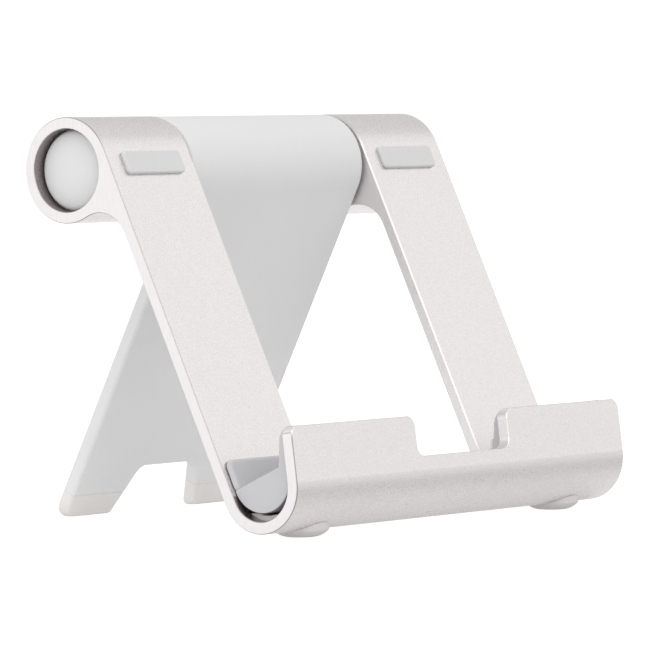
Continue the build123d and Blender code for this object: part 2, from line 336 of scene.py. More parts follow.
class NodeSheet:
    """A node tree with short calls for adding, setting and joining nodes."""

    def __init__(self, tree: bpy.types.NodeTree) -> None:
        """Take over a tree and empty it.

        Args:
            tree: The node tree of a material or of a group.
        """
        self.tree = tree
        self.tree.nodes.clear()

    def add(self, kind: str, settings: dict | None = None, **inputs: object) -> Node:
        """Add a node, set it and feed its inputs.

        Args:
            kind: Blender's name of the node type.
            settings: Properties of the node itself.
            **inputs: Input socket names, with underscores for spaces. A socket is
                linked and anything else is set as the input's value.

        Returns:
            The new node.
        """
        node = self.tree.nodes.new(kind)
        for name, value in (settings or {}).items():
            setattr(node, name, value)
        for name, value in inputs.items():
            self.feed(node, name.replace("_", " "), value)
        return node

    def feed(self, node: Node, name: str | int, value: object) -> None:
        """Link or set one input.

        Args:
            node: The node that receives the value.
            name: The input's name, or its place in the list of inputs.
            value: An output socket to link, or a plain value to set.
        """
        socket = node.inputs[name]
        if isinstance(value, Socket):
            self.tree.links.new(value, socket)
        else:
            socket.default_value = value

    def math(
        self, operation: str, first: Socket | float, second: Socket | float = 0.0, clamp: bool = False
    ) -> Socket:
        """Add a Math node.

        Args:
            operation: The operation's name, such as MULTIPLY.
            first: First operand, a socket or a number.
            second: Second operand, a socket or a number.
            clamp: Whether the result is held between 0 and 1.

        Returns:
            The result's socket.
        """
        node = self.add("ShaderNodeMath", {"operation": operation, "use_clamp": clamp})
        self.feed(node, 0, first)
        self.feed(node, 1, second)
        return node.outputs[0]

    def ramp(
        self,
        value: Socket,
        low: Socket | float,
        high: Socket | float,
        to_low: float = 0.0,
        to_high: float = 1.0,
    ) -> Socket:
        """Map a range of values smoothly on to another.

        Args:
            value: The socket to map.
            low: Input value at the start of the range.
            high: Input value at its end.
            to_low: Output at the start.
            to_high: Output at the end.

        Returns:
            The mapped value's socket.
        """
        node = self.add("ShaderNodeMapRange", {"interpolation_type": "SMOOTHSTEP"})
        for place, entry in enumerate((value, low, high, to_low, to_high)):
            self.feed(node, place, entry)
        return node.outputs[0]

    def mix(self, factor: object, first: object, second: object, blend: str = "MIX") -> Socket:
        """Mix two colours.

        Args:
            factor: Share of the second colour.
            first: First colour.
            second: Second colour.
            blend: Blend mode.

        Returns:
            The mixed colour's socket.
        """
        node = self.add("ShaderNodeMix", {"data_type": "RGBA", "blend_type": blend})
        self.feed(node, "Factor", factor)
        self.feed(node, MIX_COLOUR_A, first)
        self.feed(node, MIX_COLOUR_B, second)
        return node.outputs[MIX_COLOUR_OUT]


class EffectGroup:
    """A shader node group that several finishes share, built on first use."""

    name = ""
    sockets_in: tuple[tuple[str, str, object], ...] = ()
    sockets_out: tuple[tuple[str, str], ...] = ()

    @classmethod
    def tree(cls) -> bpy.types.NodeTree:
        """Build the group once.

        Returns:
            The group's node tree.
        """
        found = bpy.data.node_groups.get(cls.name)
        if found:
            return found
        group = bpy.data.node_groups.new(cls.name, "ShaderNodeTree")
        for label, kind, value in cls.sockets_in:
            socket = group.interface.new_socket(label, in_out="INPUT", socket_type=kind)
            if value is not None:
                socket.default_value = value
        for label, kind in cls.sockets_out:
            group.interface.new_socket(label, in_out="OUTPUT", socket_type=kind)
        sheet = NodeSheet(group)
        entry = sheet.add("NodeGroupInput")
        leave = sheet.add("NodeGroupOutput")
        cls.fill(sheet, entry, leave)
        return group

    @classmethod
    def fill(cls, sheet: NodeSheet, entry: Node, leave: Node) -> None:
        """Put the effect's nodes between the group's input and output.

        Args:
            sheet: The group's tree.
            entry: The group's input node.
            leave: The group's output node.
        """
        raise NotImplementedError

    @classmethod
    def place(cls, sheet: NodeSheet, **inputs: object) -> Node:
        """Place the group in a material.

        Args:
            sheet: The material's tree.
            **inputs: Values or sockets for the group's inputs.

        Returns:
            The group node.
        """
        return sheet.add("ShaderNodeGroup", {"node_tree": cls.tree()}, **inputs)


class BlastGrain(EffectGroup):
    """Fine pits and sparkle of a bead-blasted or spark-textured surface."""

    name = "blast grain"
    sockets_in = (
        ("Vector", "NodeSocketVector", None),
        ("Grain", "NodeSocketFloat", 2200.0),
        ("Sparkle", "NodeSocketFloat", 0.3),
    )
    sockets_out = (("Speckle", "NodeSocketFloat"), ("Height", "NodeSocketFloat"))
    fine_scale = 2.3
    coarse_share = 0.6
    dot_spacing = 2.6
    dot_radius = (0.1, 0.34)
    dot_height = 0.5

    @classmethod
    def fill(cls, sheet: NodeSheet, entry: Node, leave: Node) -> None:
        """Blend two sizes of noise and scattered dots into a speckle and a height.

        The arguments are those of EffectGroup.fill.
        """
        vector, grain = entry.outputs["Vector"], entry.outputs["Grain"]
        coarse = sheet.add("ShaderNodeTexNoise", Vector=vector, Scale=grain, Detail=2.0, Roughness=0.65)
        finer = sheet.math("MULTIPLY", grain, cls.fine_scale)
        fine = sheet.add("ShaderNodeTexNoise", Vector=vector, Scale=finer, Detail=1.0, Roughness=0.5)
        coarse_part = sheet.math("MULTIPLY", coarse.outputs[0], cls.coarse_share)
        fine_part = sheet.math("MULTIPLY", fine.outputs[0], 1.0 - cls.coarse_share)
        both = sheet.math("ADD", coarse_part, fine_part)
        spread = sheet.math("DIVIDE", grain, cls.dot_spacing)
        cells = sheet.add("ShaderNodeTexVoronoi", Vector=vector, Scale=spread)
        dots = sheet.ramp(cells.outputs["Distance"], *cls.dot_radius, 1.0, 0.0)
        colours = sheet.add("ShaderNodeSeparateColor", Color=cells.outputs["Color"])
        sign = sheet.math("SUBTRACT", colours.outputs[0], 0.5)
        lone = sheet.math("MULTIPLY", sheet.math("MULTIPLY", dots, sign), entry.outputs["Sparkle"])
        sheet.feed(leave, "Speckle", sheet.math("ADD", both, lone, clamp=True))
        sheet.feed(leave, "Height", sheet.math("ADD", both, sheet.math("MULTIPLY", lone, cls.dot_height)))


class Mottle(EffectGroup):
    """Broad, faint unevenness of colour, as handling leaves."""

    name = "mottle"
    sockets_in = (
        ("Vector", "NodeSocketVector", None),
        ("Patch Size", "NodeSocketFloat", 0.03),
    )
    sockets_out = (("Mask", "NodeSocketFloat"),)

    @classmethod
    def fill(cls, sheet: NodeSheet, entry: Node, leave: Node) -> None:
        """Turn slow noise into a soft mask.

        The arguments are those of EffectGroup.fill.
        """
        vector = entry.outputs["Vector"]
        scale = sheet.math("DIVIDE", 1.0, entry.outputs["Patch Size"])
        slow = sheet.add("ShaderNodeTexNoise", Vector=vector, Scale=scale, Detail=1.0, Roughness=0.4)
        sheet.feed(leave, "Mask", sheet.ramp(slow.outputs[0], 0.3, 0.7))


class EdgeHighlight(EffectGroup):
    """A mask of convex edges, broken up by noise, where a highlight is painted."""

    name = "painted edge highlight"
    sockets_in = (
        ("Vector", "NodeSocketVector", None),
        ("Threshold", "NodeSocketFloat", 0.52),
        ("Break Up", "NodeSocketFloat", 0.3),
    )
    sockets_out = (("Mask", "NodeSocketFloat"),)
    softness = 0.06
    gap_scale = 450.0

    @classmethod
    def fill(cls, sheet: NodeSheet, entry: Node, leave: Node) -> None:
        """Read the surface's pointiness and break it up.

        The arguments are those of EffectGroup.fill.
        """
        point = sheet.add("ShaderNodeNewGeometry").outputs["Pointiness"]
        low = entry.outputs["Threshold"]
        edge = sheet.ramp(point, low, sheet.math("ADD", low, cls.softness))
        vector = entry.outputs["Vector"]
        noise = sheet.add("ShaderNodeTexNoise", Vector=vector, Scale=cls.gap_scale, Detail=3.0)
        gaps = sheet.math("MULTIPLY", sheet.ramp(noise.outputs[0], 0.4, 0.62), entry.outputs["Break Up"])
        kept = sheet.math("SUBTRACT", 1.0, gaps, clamp=True)
        sheet.feed(leave, "Mask", sheet.math("MULTIPLY", edge, kept, clamp=True))


class MilledFaces(EffectGroup):
    """Masks of the faces cut square to the hinge and of their chamfers, with the cutter's streaks."""

    name = "milled faces"
    sockets_in = (("Vector", "NodeSocketVector", None),)
    sockets_out = (
        ("Mask", "NodeSocketFloat"),
        ("Slant", "NodeSocketFloat"),
        ("Streaks", "NodeSocketFloat"),
    )
    square_from = (0.9, 0.97)
    slant_from = (0.4, 0.6)
    streak_stretch = (1.0, 1.0, 0.12)
    streak_scale = 1800.0

    @classmethod
    def fill(cls, sheet: NodeSheet, entry: Node, leave: Node) -> None:
        """Read which way the surface faces and stretch a noise along the cut.

        The arguments are those of EffectGroup.fill.
        """
        normal = sheet.add("ShaderNodeNewGeometry").outputs["True Normal"]
        split = sheet.add("ShaderNodeSeparateXYZ", Vector=normal)
        sideways = sheet.math("ABSOLUTE", split.outputs[0])
        square = sheet.ramp(sideways, *cls.square_from)
        turned = sheet.ramp(sideways, *cls.slant_from)
        sheet.feed(leave, "Mask", square)
        sheet.feed(leave, "Slant", sheet.math("SUBTRACT", turned, square, clamp=True))
        stretched = sheet.add("ShaderNodeMapping", Vector=entry.outputs["Vector"], Scale=cls.streak_stretch)
        along = stretched.outputs[0]
        streaks = sheet.add("ShaderNodeTexNoise", Vector=along, Scale=cls.streak_scale, Detail=2.0)
        sheet.feed(leave, "Streaks", streaks.outputs[0])


FINISHED: dict[str, bpy.types.Material] = {}
ROUGHNESS_SWING = (-0.05, 0.06)
EDGE_GLOSS = 0.08


def opaque(colour: Triple, shade: float = 1.0) -> tuple[float, float, float, float]:
    """Shade a colour, hold it to white and add full opacity.

    Args:
        colour: The colour.
        shade: What its parts are multiplied by.

    Returns:
        Red, green, blue and opacity.
    """
    return tuple(min(1.0, part * shade) for part in colour) + (1.0,)


@dataclass(frozen=True)
class Finish:
    """A surface finish: one material with its colour, grain and gloss.

    Attributes:
        name: The material's name.
        colour: Base colour, linear red, green and blue.
        roughness: Mean roughness.
        metallic: 1 for bare metal and 0 otherwise.
        grain_mm: Size of the surface's grain.
        grain_depth_mm: Depth of the grain in the bump.
        speckle: How far the grain lightens and darkens the colour.
        sparkle: Strength of the scattered bright and dark dots.
        mottle: How far broad patches darken the colour.
        edge_highlight: How far convex edges lighten, a painted highlight.
    """

    name: str
    colour: Triple
    roughness: float
    metallic: float = 0.0
    grain_mm: float = 0.45
    grain_depth_mm: float = 0.02
    speckle: float = 0.06
    sparkle: float = 0.3
    mottle: float = 0.02
    edge_highlight: float = 0.1

    def material(self) -> bpy.types.Material:
        """Build the material, or give the one built before.

        Returns:
            The finish's material.
        """
        if self.name in FINISHED:
            return FINISHED[self.name]
        material = bpy.data.materials.new(self.name)
        FINISHED[self.name] = material
        material.use_nodes = True
        sheet = NodeSheet(material.node_tree)
        vector = sheet.add("ShaderNodeTexCoord").outputs["Object"]
        grain = BlastGrain.place(sheet, Vector=vector, Grain=1.0 / (self.grain_mm * MM), Sparkle=self.sparkle)
        patches = Mottle.place(sheet, Vector=vector).outputs["Mask"]
        edges = EdgeHighlight.place(sheet, Vector=vector).outputs["Mask"]
        speckle = grain.outputs["Speckle"]
        colour = self.tint(sheet, speckle, patches, edges)
        smooth, coarse = (self.roughness + swing for swing in ROUGHNESS_SWING)
        rough = sheet.ramp(speckle, 0.3, 0.7, smooth, coarse)
        rough = sheet.math("SUBTRACT", rough, sheet.math("MULTIPLY", edges, EDGE_GLOSS))
        colour, rough = self.worked(sheet, vector, colour, rough)
        depth = self.grain_depth_mm * MM
        bump = sheet.add("ShaderNodeBump", Strength=1.0, Distance=depth, Height=grain.outputs["Height"])
        shader = sheet.add("ShaderNodeBsdfPrincipled", Base_Color=colour, Roughness=rough)
        sheet.feed(shader, "Normal", bump.outputs[0])
        sheet.feed(shader, "Metallic", self.metallic)
        leave = sheet.add("ShaderNodeOutputMaterial")
        sheet.tree.links.new(shader.outputs[0], leave.inputs[0])
        return material

    def tint(self, sheet: NodeSheet, speckle: Socket, patches: Socket, edges: Socket) -> Socket:
        """Vary the base colour by grain and patches, and paint a highlight on the edges.

        Args:
            sheet: The material's tree.
            speckle: Grain mask.
            patches: Broad mask.
            edges: Edge mask, for the painted highlight.

        Returns:
            The varied colour.
        """
        dark = opaque(self.colour, 1.0 - self.speckle)
        light = opaque(self.colour, 1.0 + self.speckle)
        grained = sheet.mix(sheet.ramp(speckle, 0.25, 0.75), dark, light)
        shade = (1.0 - self.mottle,) * 3 + (1.0,)
        patched = sheet.mix(patches, grained, sheet.mix(1.0, grained, shade, "MULTIPLY"))
        # Painted highlight: convex edges are mixed towards white.
        return sheet.mix(sheet.math("MULTIPLY", edges, self.edge_highlight), patched, WHITE)

    def worked(
        self, sheet: NodeSheet, vector: Socket, colour: Socket, rough: Socket
    ) -> tuple[Socket, Socket]:
        """Change the colour and roughness where the piece was worked afterwards.

        Args:
            sheet: The material's tree.
            vector: Object coordinates.
            colour: The colour so far.
            rough: The roughness so far.

        Returns:
            The colour and roughness, here as they were.
        """
        return colour, rough


@dataclass(frozen=True)
class MilledMetal(Finish):
    """A blasted metal whose faces square to the hinge are milled and left smoother, with painted shade in its
    bores, on the floor under the inserts and along some edges.

    Attributes:
        milled: Colour of the milled faces.
        milled_roughness: Their roughness.
        streak_shade: How dark the cutter's streaks are, against the rest.
        end_mm: Half the frame's width, where the sawn ends' edges get a painted dark line.
        line_mm: Width of that dark line.
        bore_mm: Radius inside which the knuckles' bores get painted shade.
        raw: Colour of the painted shade there.
        window_mm: Where the chamfers of the window's sides lie.
        window_share: How far they take the painted shade.
        floor_mm: Radius about the channel's centre of its floor that gets painted shade.
        under_mm: Reach along the hinge of that floor, which the inserts cover.
    """

    milled: Triple = (0.855, 0.825, 0.83)
    milled_roughness: float = 0.42
    streak_shade: float = 0.97
    end_mm: float = 60.0
    line_mm: float = 0.22
    bore_mm: float = 9.0
    # Colour of the painted shade in the bores, on the floor under the inserts and along some edges.
    raw: Triple = (0.4, 0.37, 0.36)
    window_mm: float = 31.5
    window_share: float = 0.6
    floor_mm: float = 7.46
    under_mm: tuple[float, float] = (18.1, 59.7)

    def worked(
        self, sheet: NodeSheet, vector: Socket, colour: Socket, rough: Socket
    ) -> tuple[Socket, Socket]:
        """Lay the milled faces over the blasted ones and paint shade into the dark places.

        The arguments and the result are those of Finish.worked.
        """
        cut = MilledFaces.place(sheet, Vector=vector)
        dull, bright = opaque(self.milled, self.streak_shade), opaque(self.milled)
        streaked = sheet.mix(sheet.ramp(cut.outputs["Streaks"], 0.35, 0.65), dull, bright)
        colour = sheet.mix(cut.outputs["Mask"], colour, streaked)
        smooth = sheet.math("SUBTRACT", rough, self.milled_roughness)
        rough = sheet.math("SUBTRACT", rough, sheet.math("MULTIPLY", smooth, cut.outputs["Mask"]))
        # Painted shade: the bores, the floor under the inserts and the edges at the ends and the window are
        # darkened.
        colour = sheet.mix(self.painted_shade_places(sheet, vector, cut), colour, opaque(self.raw))
        return colour, rough

    def painted_shade_places(self, sheet: NodeSheet, vector: Socket, cut: Node) -> Socket:
        """Find where shade is painted: the knuckles' bores, the floor under the inserts, the sawn ends' edges
        and the window's chamfers.

        Args:
            sheet: The material's tree.
            vector: Object coordinates.
            cut: The group that finds the milled faces and their chamfers.

        Returns:
            The mask of them all.
        """
        along = sheet.math("ABSOLUTE", sheet.add("ShaderNodeSeparateXYZ", Vector=vector).outputs[0])
        bore = sheet.math("LESS_THAN", self.off_axis(sheet, vector, HINGE), self.bore_mm * MM)
        low, high = self.under_mm
        covered = self.near(sheet, along, (low + high) / 2, (high - low) / 2)
        off_channel = self.off_axis(sheet, vector, CHANNEL)
        under = sheet.math("MULTIPLY", covered, sheet.math("LESS_THAN", off_channel, self.floor_mm * MM))
        end = sheet.math("GREATER_THAN", along, (self.end_mm - self.line_mm) * MM)
        end = sheet.math("MULTIPLY", end, sheet.math("SUBTRACT", 1.0, cut.outputs["Mask"]))
        window = self.near(sheet, along, self.window_mm, self.line_mm)
        window = sheet.math("MULTIPLY", window, cut.outputs["Slant"])
        window = sheet.math("MULTIPLY", window, self.window_share)
        edges = sheet.math("MAXIMUM", end, window)
        return sheet.math("MAXIMUM", sheet.math("MAXIMUM", bore, under), edges)

    @staticmethod
    def near(sheet: NodeSheet, value: Socket, middle_mm: float, reach_mm: float) -> Socket:
        """Tell where a distance is near a given one.

        Args:
            sheet: The material's tree.
            value: The distance, in metres.
            middle_mm: The given distance.
            reach_mm: How far from it still counts as near.

        Returns:
            1 where it is near and 0 elsewhere.
        """
        found = sheet.math("COMPARE", value, middle_mm * MM)
        sheet.feed(found.node, COMPARE_REACH, reach_mm * MM)
        return found

    @staticmethod
    def off_axis(sheet: NodeSheet, vector: Socket, centre: Vector) -> Socket:
        """Measure the distance from a line along X.

        Args:
            sheet: The material's tree.
            vector: Object coordinates.
            centre: A point on the line.

        Returns:
            The distance, in metres.
        """
        near = sheet.add("ShaderNodeMapping", Vector=vector, Location=tuple(-centre))
        flat = sheet.add("ShaderNodeVectorMath", {"operation": "MULTIPLY"})
        sheet.feed(flat, 0, near.outputs[0])
        sheet.feed(flat, 1, (0.0, 1.0, 1.0))
        length = sheet.add("ShaderNodeVectorMath", {"operation": "LENGTH"})
        sheet.feed(length, 0, flat.outputs[0])
        return length.outputs["Value"]


ALUMINIUM = MilledMetal(
    "blasted aluminium",
    (0.835, 0.8, 0.79),
    0.36,
    metallic=1.0,
    grain_mm=0.3,
    grain_depth_mm=0.028,
    speckle=0.14,
    sparkle=0.25,
    mottle=0.01,
)
LEG_PLASTIC = Finish(
    "leg plastic", (0.74, 0.74, 0.74), 0.55, grain_mm=0.35, grain_depth_mm=0.008, speckle=0.02
)
SHOE_RUBBER = Finish(
    "shoe rubber", (0.76, 0.735, 0.715), 0.7, grain_mm=0.5, grain_depth_mm=0.01, speckle=0.03
)
FOOT_RUBBER = Finish(
    "foot rubber", (0.65, 0.62, 0.61), 0.6, grain_mm=0.5, grain_depth_mm=0.01, speckle=0.03
)
SILICONE = Finish(
    "matt silicone", (0.67, 0.665, 0.67), 0.55, grain_mm=0.5, grain_depth_mm=0.005, speckle=0.02
)
# The insert's copy of the silicone, darkened as painted shade for its place down in the channel.
SHADED_SILICONE = Finish(
    "silicone in painted shade", (0.545, 0.54, 0.555), 0.5, grain_mm=0.5, grain_depth_mm=0.005, speckle=0.02
)
CAP_PLASTIC = Finish(
    "cap plastic", (0.71, 0.71, 0.72), 0.36, grain_mm=0.4, grain_depth_mm=0.003, speckle=0.01
)
HUB_PLASTIC = Finish("hub plastic", (0.05, 0.05, 0.055), 0.5)
NYLON = Finish("nylon", (0.02, 0.02, 0.02), 0.45)
BRONZE = Finish("bronze", (0.5, 0.32, 0.16), 0.35, metallic=1.0, edge_highlight=0.2)
SPRING_STEEL = Finish("spring steel", (0.35, 0.35, 0.36), 0.3, metallic=1.0, edge_highlight=0.2)
STEEL = Finish("zinc-plated steel", (0.6, 0.6, 0.62), 0.3, metallic=1.0, edge_highlight=0.2)


# ---- pieces


SHARP_DEG = 20.0
SQUARE = 0.99
TOUCH = 0.01
BACK_ROUND = 0.15
CORNER_STEPS, LIP_STEPS, ROUND_STEPS = 8, 5, 3


def coat(piece: bpy.types.Object, finish: Finish) -> None:
    """Give an object one finish in place of any it has.

    Args:
        piece: The object.
        finish: Its finish.
    """
    piece.data.materials.clear()
    piece.data.materials.append(finish.material())


def dress(node: str, finish: Finish) -> None:
    """Give a CAD node its finish.

    Args:
        node: The node's name.
        finish: Its finish.
    """
    coat(frame["nodes"][node], finish)
    log.info("%s: %s", node, finish.name)


def place(piece: bpy.types.Object, finish: Finish, body: str, slot: str, node: str) -> None:
    """Give a new piece its finish, its body and the CAD node it stands for.

    Args:
        piece: The piece.
        finish: Its finish.
        body: The body it rides on.
        slot: The record's material slot; not used.
        node: The CAD node it replaces.
    """
    coat(piece, finish)
    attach(piece, body)
    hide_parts(node)
    log.info("%s: stands for %s", piece.name, node)


@dataclass(frozen=True)
class EndCap:
    """The domed cap pressed into the end of a knuckle.

    Attributes:
        radius: Radius of the visible disc.
        skirt_radius: Radius of the skirt that grips the bore.
        skirt_inside: Inner radius of the skirt.
        skirt_start: Where the skirt begins along the hinge.
        shoulder: Where the disc begins.
        rim: Where the disc's side ends and the dome begins.
        crown: The dome's highest point.
        rim_round: Rounding of the disc's rim.
        rim_steps: Number of that rounding's segments.
        dome_steps: Number of rings in the dome.
    """

    radius: float = 8.68
    skirt_radius: float = 8.9
    skirt_inside: float = 7.6
    skirt_start: float = 52.5
    shoulder: float = 56.0
    rim: float = 57.4
    crown: float = 58.5
    rim_round: float = 0.9
    rim_steps: int = 6
    dome_steps: int = 6

    def outline(self, side: Side) -> list[tuple[float, float]]:
        """Give the cap's outline from the crown round to the axis.

        Args:
            side: The end of the hinge.

        Returns:
            Corners as (place along the hinge, radius).
        """
        height = self.crown - self.rim
        sphere = (height**2 + self.radius**2) / (2 * height)
        half = math.asin(self.radius / sphere)
        turns = [half * step / self.dome_steps for step in range(self.dome_steps + 1)]
        dome = [(self.crown - sphere + sphere * math.cos(turn), sphere * math.sin(turn)) for turn in turns]
        rest = [
            (self.shoulder, self.radius),
            (self.shoulder, self.skirt_radius),
            (self.skirt_start, self.skirt_radius),
            (self.skirt_start, self.skirt_inside),
            (self.shoulder, self.skirt_inside),
            (self.shoulder, 0.0),
        ]
        return [(side.value * x, radius) for x, radius in dome + rest]

    def build(self, side: Side) -> None:
        """Model and dress one cap.

        Args:
            side: The end of the hinge.
        """
        shape = Shape.turned(self.outline(side))
        edge_radius = self.radius * MM

        def on_rim(edge: bmesh.types.BMEdge) -> bool:
            """Tell whether an edge lies on the disc's rim."""
            middle = (edge.verts[0].co + edge.verts[1].co) / 2
            off_axis = math.hypot(middle.y - HINGE.y, middle.z - HINGE.z)
            level = abs(abs(middle.x) - self.rim * MM) < TOUCH * MM
            return level and abs(off_axis - edge_radius) < 5 * TOUCH * MM

        shape.soften(shape.edges_where(SHARP_DEG, on_rim), self.rim_round, self.rim_steps)
        piece = shape.finished(f"cap_{side.suffix}")
        place(piece, CAP_PLASTIC, "frame", "cap_plastic", f"end_cap_{side.suffix}")


@dataclass(frozen=True)
class ArmPad:
    """The thin silicone pad high on an arm.

    Attributes:
        start: Its inner end along the hinge.
        end: Its outer end.
        top: Its upper edge, down the plate from the hinge.
        bottom: Its lower edge.
        thickness: How far it stands off the arm.
        corner: Rounding of its corners.
        lip: Rounding round its face.
    """

    start: float = 36.0
    end: float = 55.2
    top: float = 1.1
    bottom: float = 6.4
    thickness: float = 0.95
    corner: float = 1.1
    lip: float = 0.45

    def build(self, side: Side) -> None:
        """Model and dress one pad.

        Args:
            side: The end of the hinge.
        """
        face = KNUCKLE_RADIUS + self.thickness
        low, high = (self.start, KNUCKLE_RADIUS, self.top), (self.end, face, self.bottom)
        shape = pad_block(side, low, high, self.corner, self.lip)
        piece = shape.finished(f"pad_{side.suffix}")
        place(piece, SILICONE, "frame", "silicone", f"arm_pad_{side.suffix}")


def pad_block(side: Side, low: Triple, high: Triple, corner: float, lip: float) -> Shape:
    """Make a block on the plate with rounded corners and a rounded face.

    Args:
        side: The end of the hinge.
        low: First corner on the right-hand side, as x, out and down.
        high: The opposite corner.
        corner: Rounding of the four corners.
        lip: Rounding of the edges round the outer face.

    Returns:
        The block.
    """
    shape = Shape.block(PLATE, (side.value * low[0], *low[1:]), (side.value * high[0], *high[1:]))

    def runs_out(edge: bmesh.types.BMEdge) -> bool:
        """Tell whether an edge runs square to the plate."""
        return abs((edge.verts[1].co - edge.verts[0].co).normalized().dot(PLATE.out)) > SQUARE

    def on_face(edge: bmesh.types.BMEdge) -> bool:
        """Tell whether both ends of an edge are on the outer face."""
        level = (high[1] - TOUCH) * MM
        return all((vert.co - HINGE).dot(PLATE.out) > level for vert in edge.verts)

    def on_back(edge: bmesh.types.BMEdge) -> bool:
        """Tell whether both ends of an edge are on the back face."""
        level = (low[1] + TOUCH) * MM
        return all((vert.co - HINGE).dot(PLATE.out) < level for vert in edge.verts)

    rounds = (
        (runs_out, corner, CORNER_STEPS),
        (on_face, lip, LIP_STEPS),
        (on_back, BACK_ROUND, ROUND_STEPS),
    )
    for test, radius, steps in rounds:
        shape.soften(shape.edges_where(SHARP_DEG, test), radius, steps)
    return shape


@dataclass(frozen=True)
class ChannelInsert:
    """The silicone insert in one end of the channel.

    Attributes:
        start: Its inner end along the hinge.
        end: Its outer end.
        clearance: Its play against the lip.
        back_gap: Its play against the arm.
        shelf: Its shelf, down the plate from the hinge.
        shelf_front: The shelf's front edge, out from the knuckle's centre.
        waist: The liner's inner face near its top, outwards and upwards.
        crest: Where that face meets the liner's top.
        seat: Height above the channel's centre where the underside leaves the walls.
        belly: Depth of the round underside below the channel's centre.
        top_fall: Fall of the liner's top from its outer to its inner end.
        top_round: Rounding of the liner's upper corners.
        top_cuts: Number of flats in each of those corners.
        pad_start: Inner end of the pad up the arm.
        pad_top: The pad's upper edge.
        pad_thickness: How far the pad stands off the arm.
        pad_corner: Rounding of the pad's upper corners.
        pad_lip: Rounding round the pad's face.
        pad_root: How far the pad reaches into the shelf's block.
        edge: Rounding of the other edges.
        edge_deg: Least turn at an edge that is rounded.
        belly_steps: Number of flats round the underside.
    """

    start: float = 18.1
    end: float = 58.7
    clearance: float = 0.05
    back_gap: float = 0.16
    shelf: float = 79.36
    shelf_front: float = 24.17
    waist: tuple[float, float] = (5.74, 10.5)
    crest: tuple[float, float] = (6.3, 11.9)
    seat: float = 1.0
    belly: float = 5.6
    top_fall: float = 0.6
    top_round: float = 2.8
    top_cuts: int = 5
    pad_start: float = 38.0
    pad_top: float = 72.5
    pad_thickness: float = 1.3
    pad_corner: float = 2.0
    pad_lip: float = 1.0
    pad_root: float = 1.0
    edge: float = 0.22
    edge_deg: float = 25.0
    belly_steps: int = 24

    def body(self, side: Side) -> Shape:
        """Extrude the shelf and the liner and shape the liner's top.

        Args:
            side: The end of the hinge.

        Returns:
            The solid.
        """
        x = side.value * self.start
        back, front = KNUCKLE_RADIUS + self.back_gap, CHANNEL_RADIUS - self.clearance
        seat_back = PLATE.at(x, back, CHANNEL_DOWN - self.seat)
        seat_front = LIP.at(x, CHANNEL_RADIUS - self.back_gap, self.seat)
        corners = [
            seat_back,
            PLATE.at(x, back, self.shelf),
            PLATE.at(x, self.shelf_front, self.shelf),
            LIP.at(x, *self.waist),
            LIP.at(x, *self.crest),
            LIP.at(x, front, self.crest[1]),
            seat_front,
        ]
        chord = (seat_front - seat_back) / 2
        middle = (seat_front + seat_back) / 2
        down = (PLATE.along - LIP.along).normalized()
        lowest = CHANNEL + (ACROSS * x + down * self.belly) * MM
        depth = (lowest - middle).dot(down)
        radius = (chord.length**2 + depth**2) / (2 * depth)
        length = ACROSS * side.value * (self.end - self.start) * MM
        shape = Shape.extruded(corners, middle + down * (depth - radius), self.belly_steps, length)
        self.shape_top(shape, side)
        shape.soften(shape.edges_where(self.edge_deg), self.edge, ROUND_STEPS)
        return shape

    def shape_top(self, shape: Shape, side: Side) -> None:
        """Slope the liner's top and round its two upper corners.

        Args:
            shape: The insert's solid.
            side: The end of the hinge.
        """
        across = ACROSS * side.value
        span, high = self.end - self.start, self.crest[1]
        slope = (LIP.along * span - across * self.top_fall).normalized()
        shape.slice_off(LIP.at(side.value * self.end, 0.0, high), slope)
        for end, top, way in ((self.end, high, 1.0), (self.start, high - self.top_fall, -1.0)):
            centre = LIP.at(side.value * (end - way * self.top_round), 0.0, top - self.top_round)
            for step in range(1, self.top_cuts + 1):
                turn = math.radians(90.0 * step / (self.top_cuts + 1))
                normal = across * way * math.cos(turn) + LIP.along * math.sin(turn)
                shape.slice_off(centre + normal * self.top_round * MM, normal)

    def build(self, side: Side) -> None:
        """Model and dress one insert.

        Args:
            side: The end of the hinge.
        """
        back = KNUCKLE_RADIUS + self.back_gap
        low = (self.pad_start, back, self.pad_top)
        high = (self.end, KNUCKLE_RADIUS + self.pad_thickness, self.shelf + self.pad_root)
        pad = pad_block(side, low, high, self.pad_corner, self.pad_lip)
        shape = self.body(side).united(pad)
        piece = shape.finished(f"insert_{side.suffix}")
        # The insert takes the silicone copy with painted shade.
        place(piece, SHADED_SILICONE, "frame", "silicone", f"channel_insert_{side.suffix}")


@dataclass(frozen=True)
class FrameSet:
    """The aluminium frame and everything fixed to it."""

    cap: EndCap = EndCap()
    pad: ArmPad = ArmPad()
    insert: ChannelInsert = ChannelInsert()

    def build(self) -> None:
        """Model and dress the frame's pieces."""
        dress("frame", ALUMINIUM)
        for side in Side:
            self.cap.build(side)
            self.pad.build(side)
            self.insert.build(side)
            dress(f"channel_foot_{side.suffix}", FOOT_RUBBER)
            dress(f"knuckle_bush_{side.suffix}", HUB_PLASTIC)


@dataclass(frozen=True)
class RearLeg:
    """The leg, its shoes and the hinge parts that turn with it."""

    parts: tuple[tuple[str, Finish], ...] = (
        ("leg_shoe", SHOE_RUBBER),
        ("barrel_hub", HUB_PLASTIC),
        ("thrust_washer", NYLON),
        ("friction_washer", BRONZE),
        ("disc_springs", SPRING_STEEL),
        ("lock_nut", STEEL),
    )

    def build(self) -> None:
        """Dress the leg's pieces."""
        dress("leg_shell", LEG_PLASTIC)
        dress("axle", STEEL)
        for side in Side:
            for stem, finish in self.parts:
                dress(f"{stem}_{side.suffix}", finish)


# ---- studio


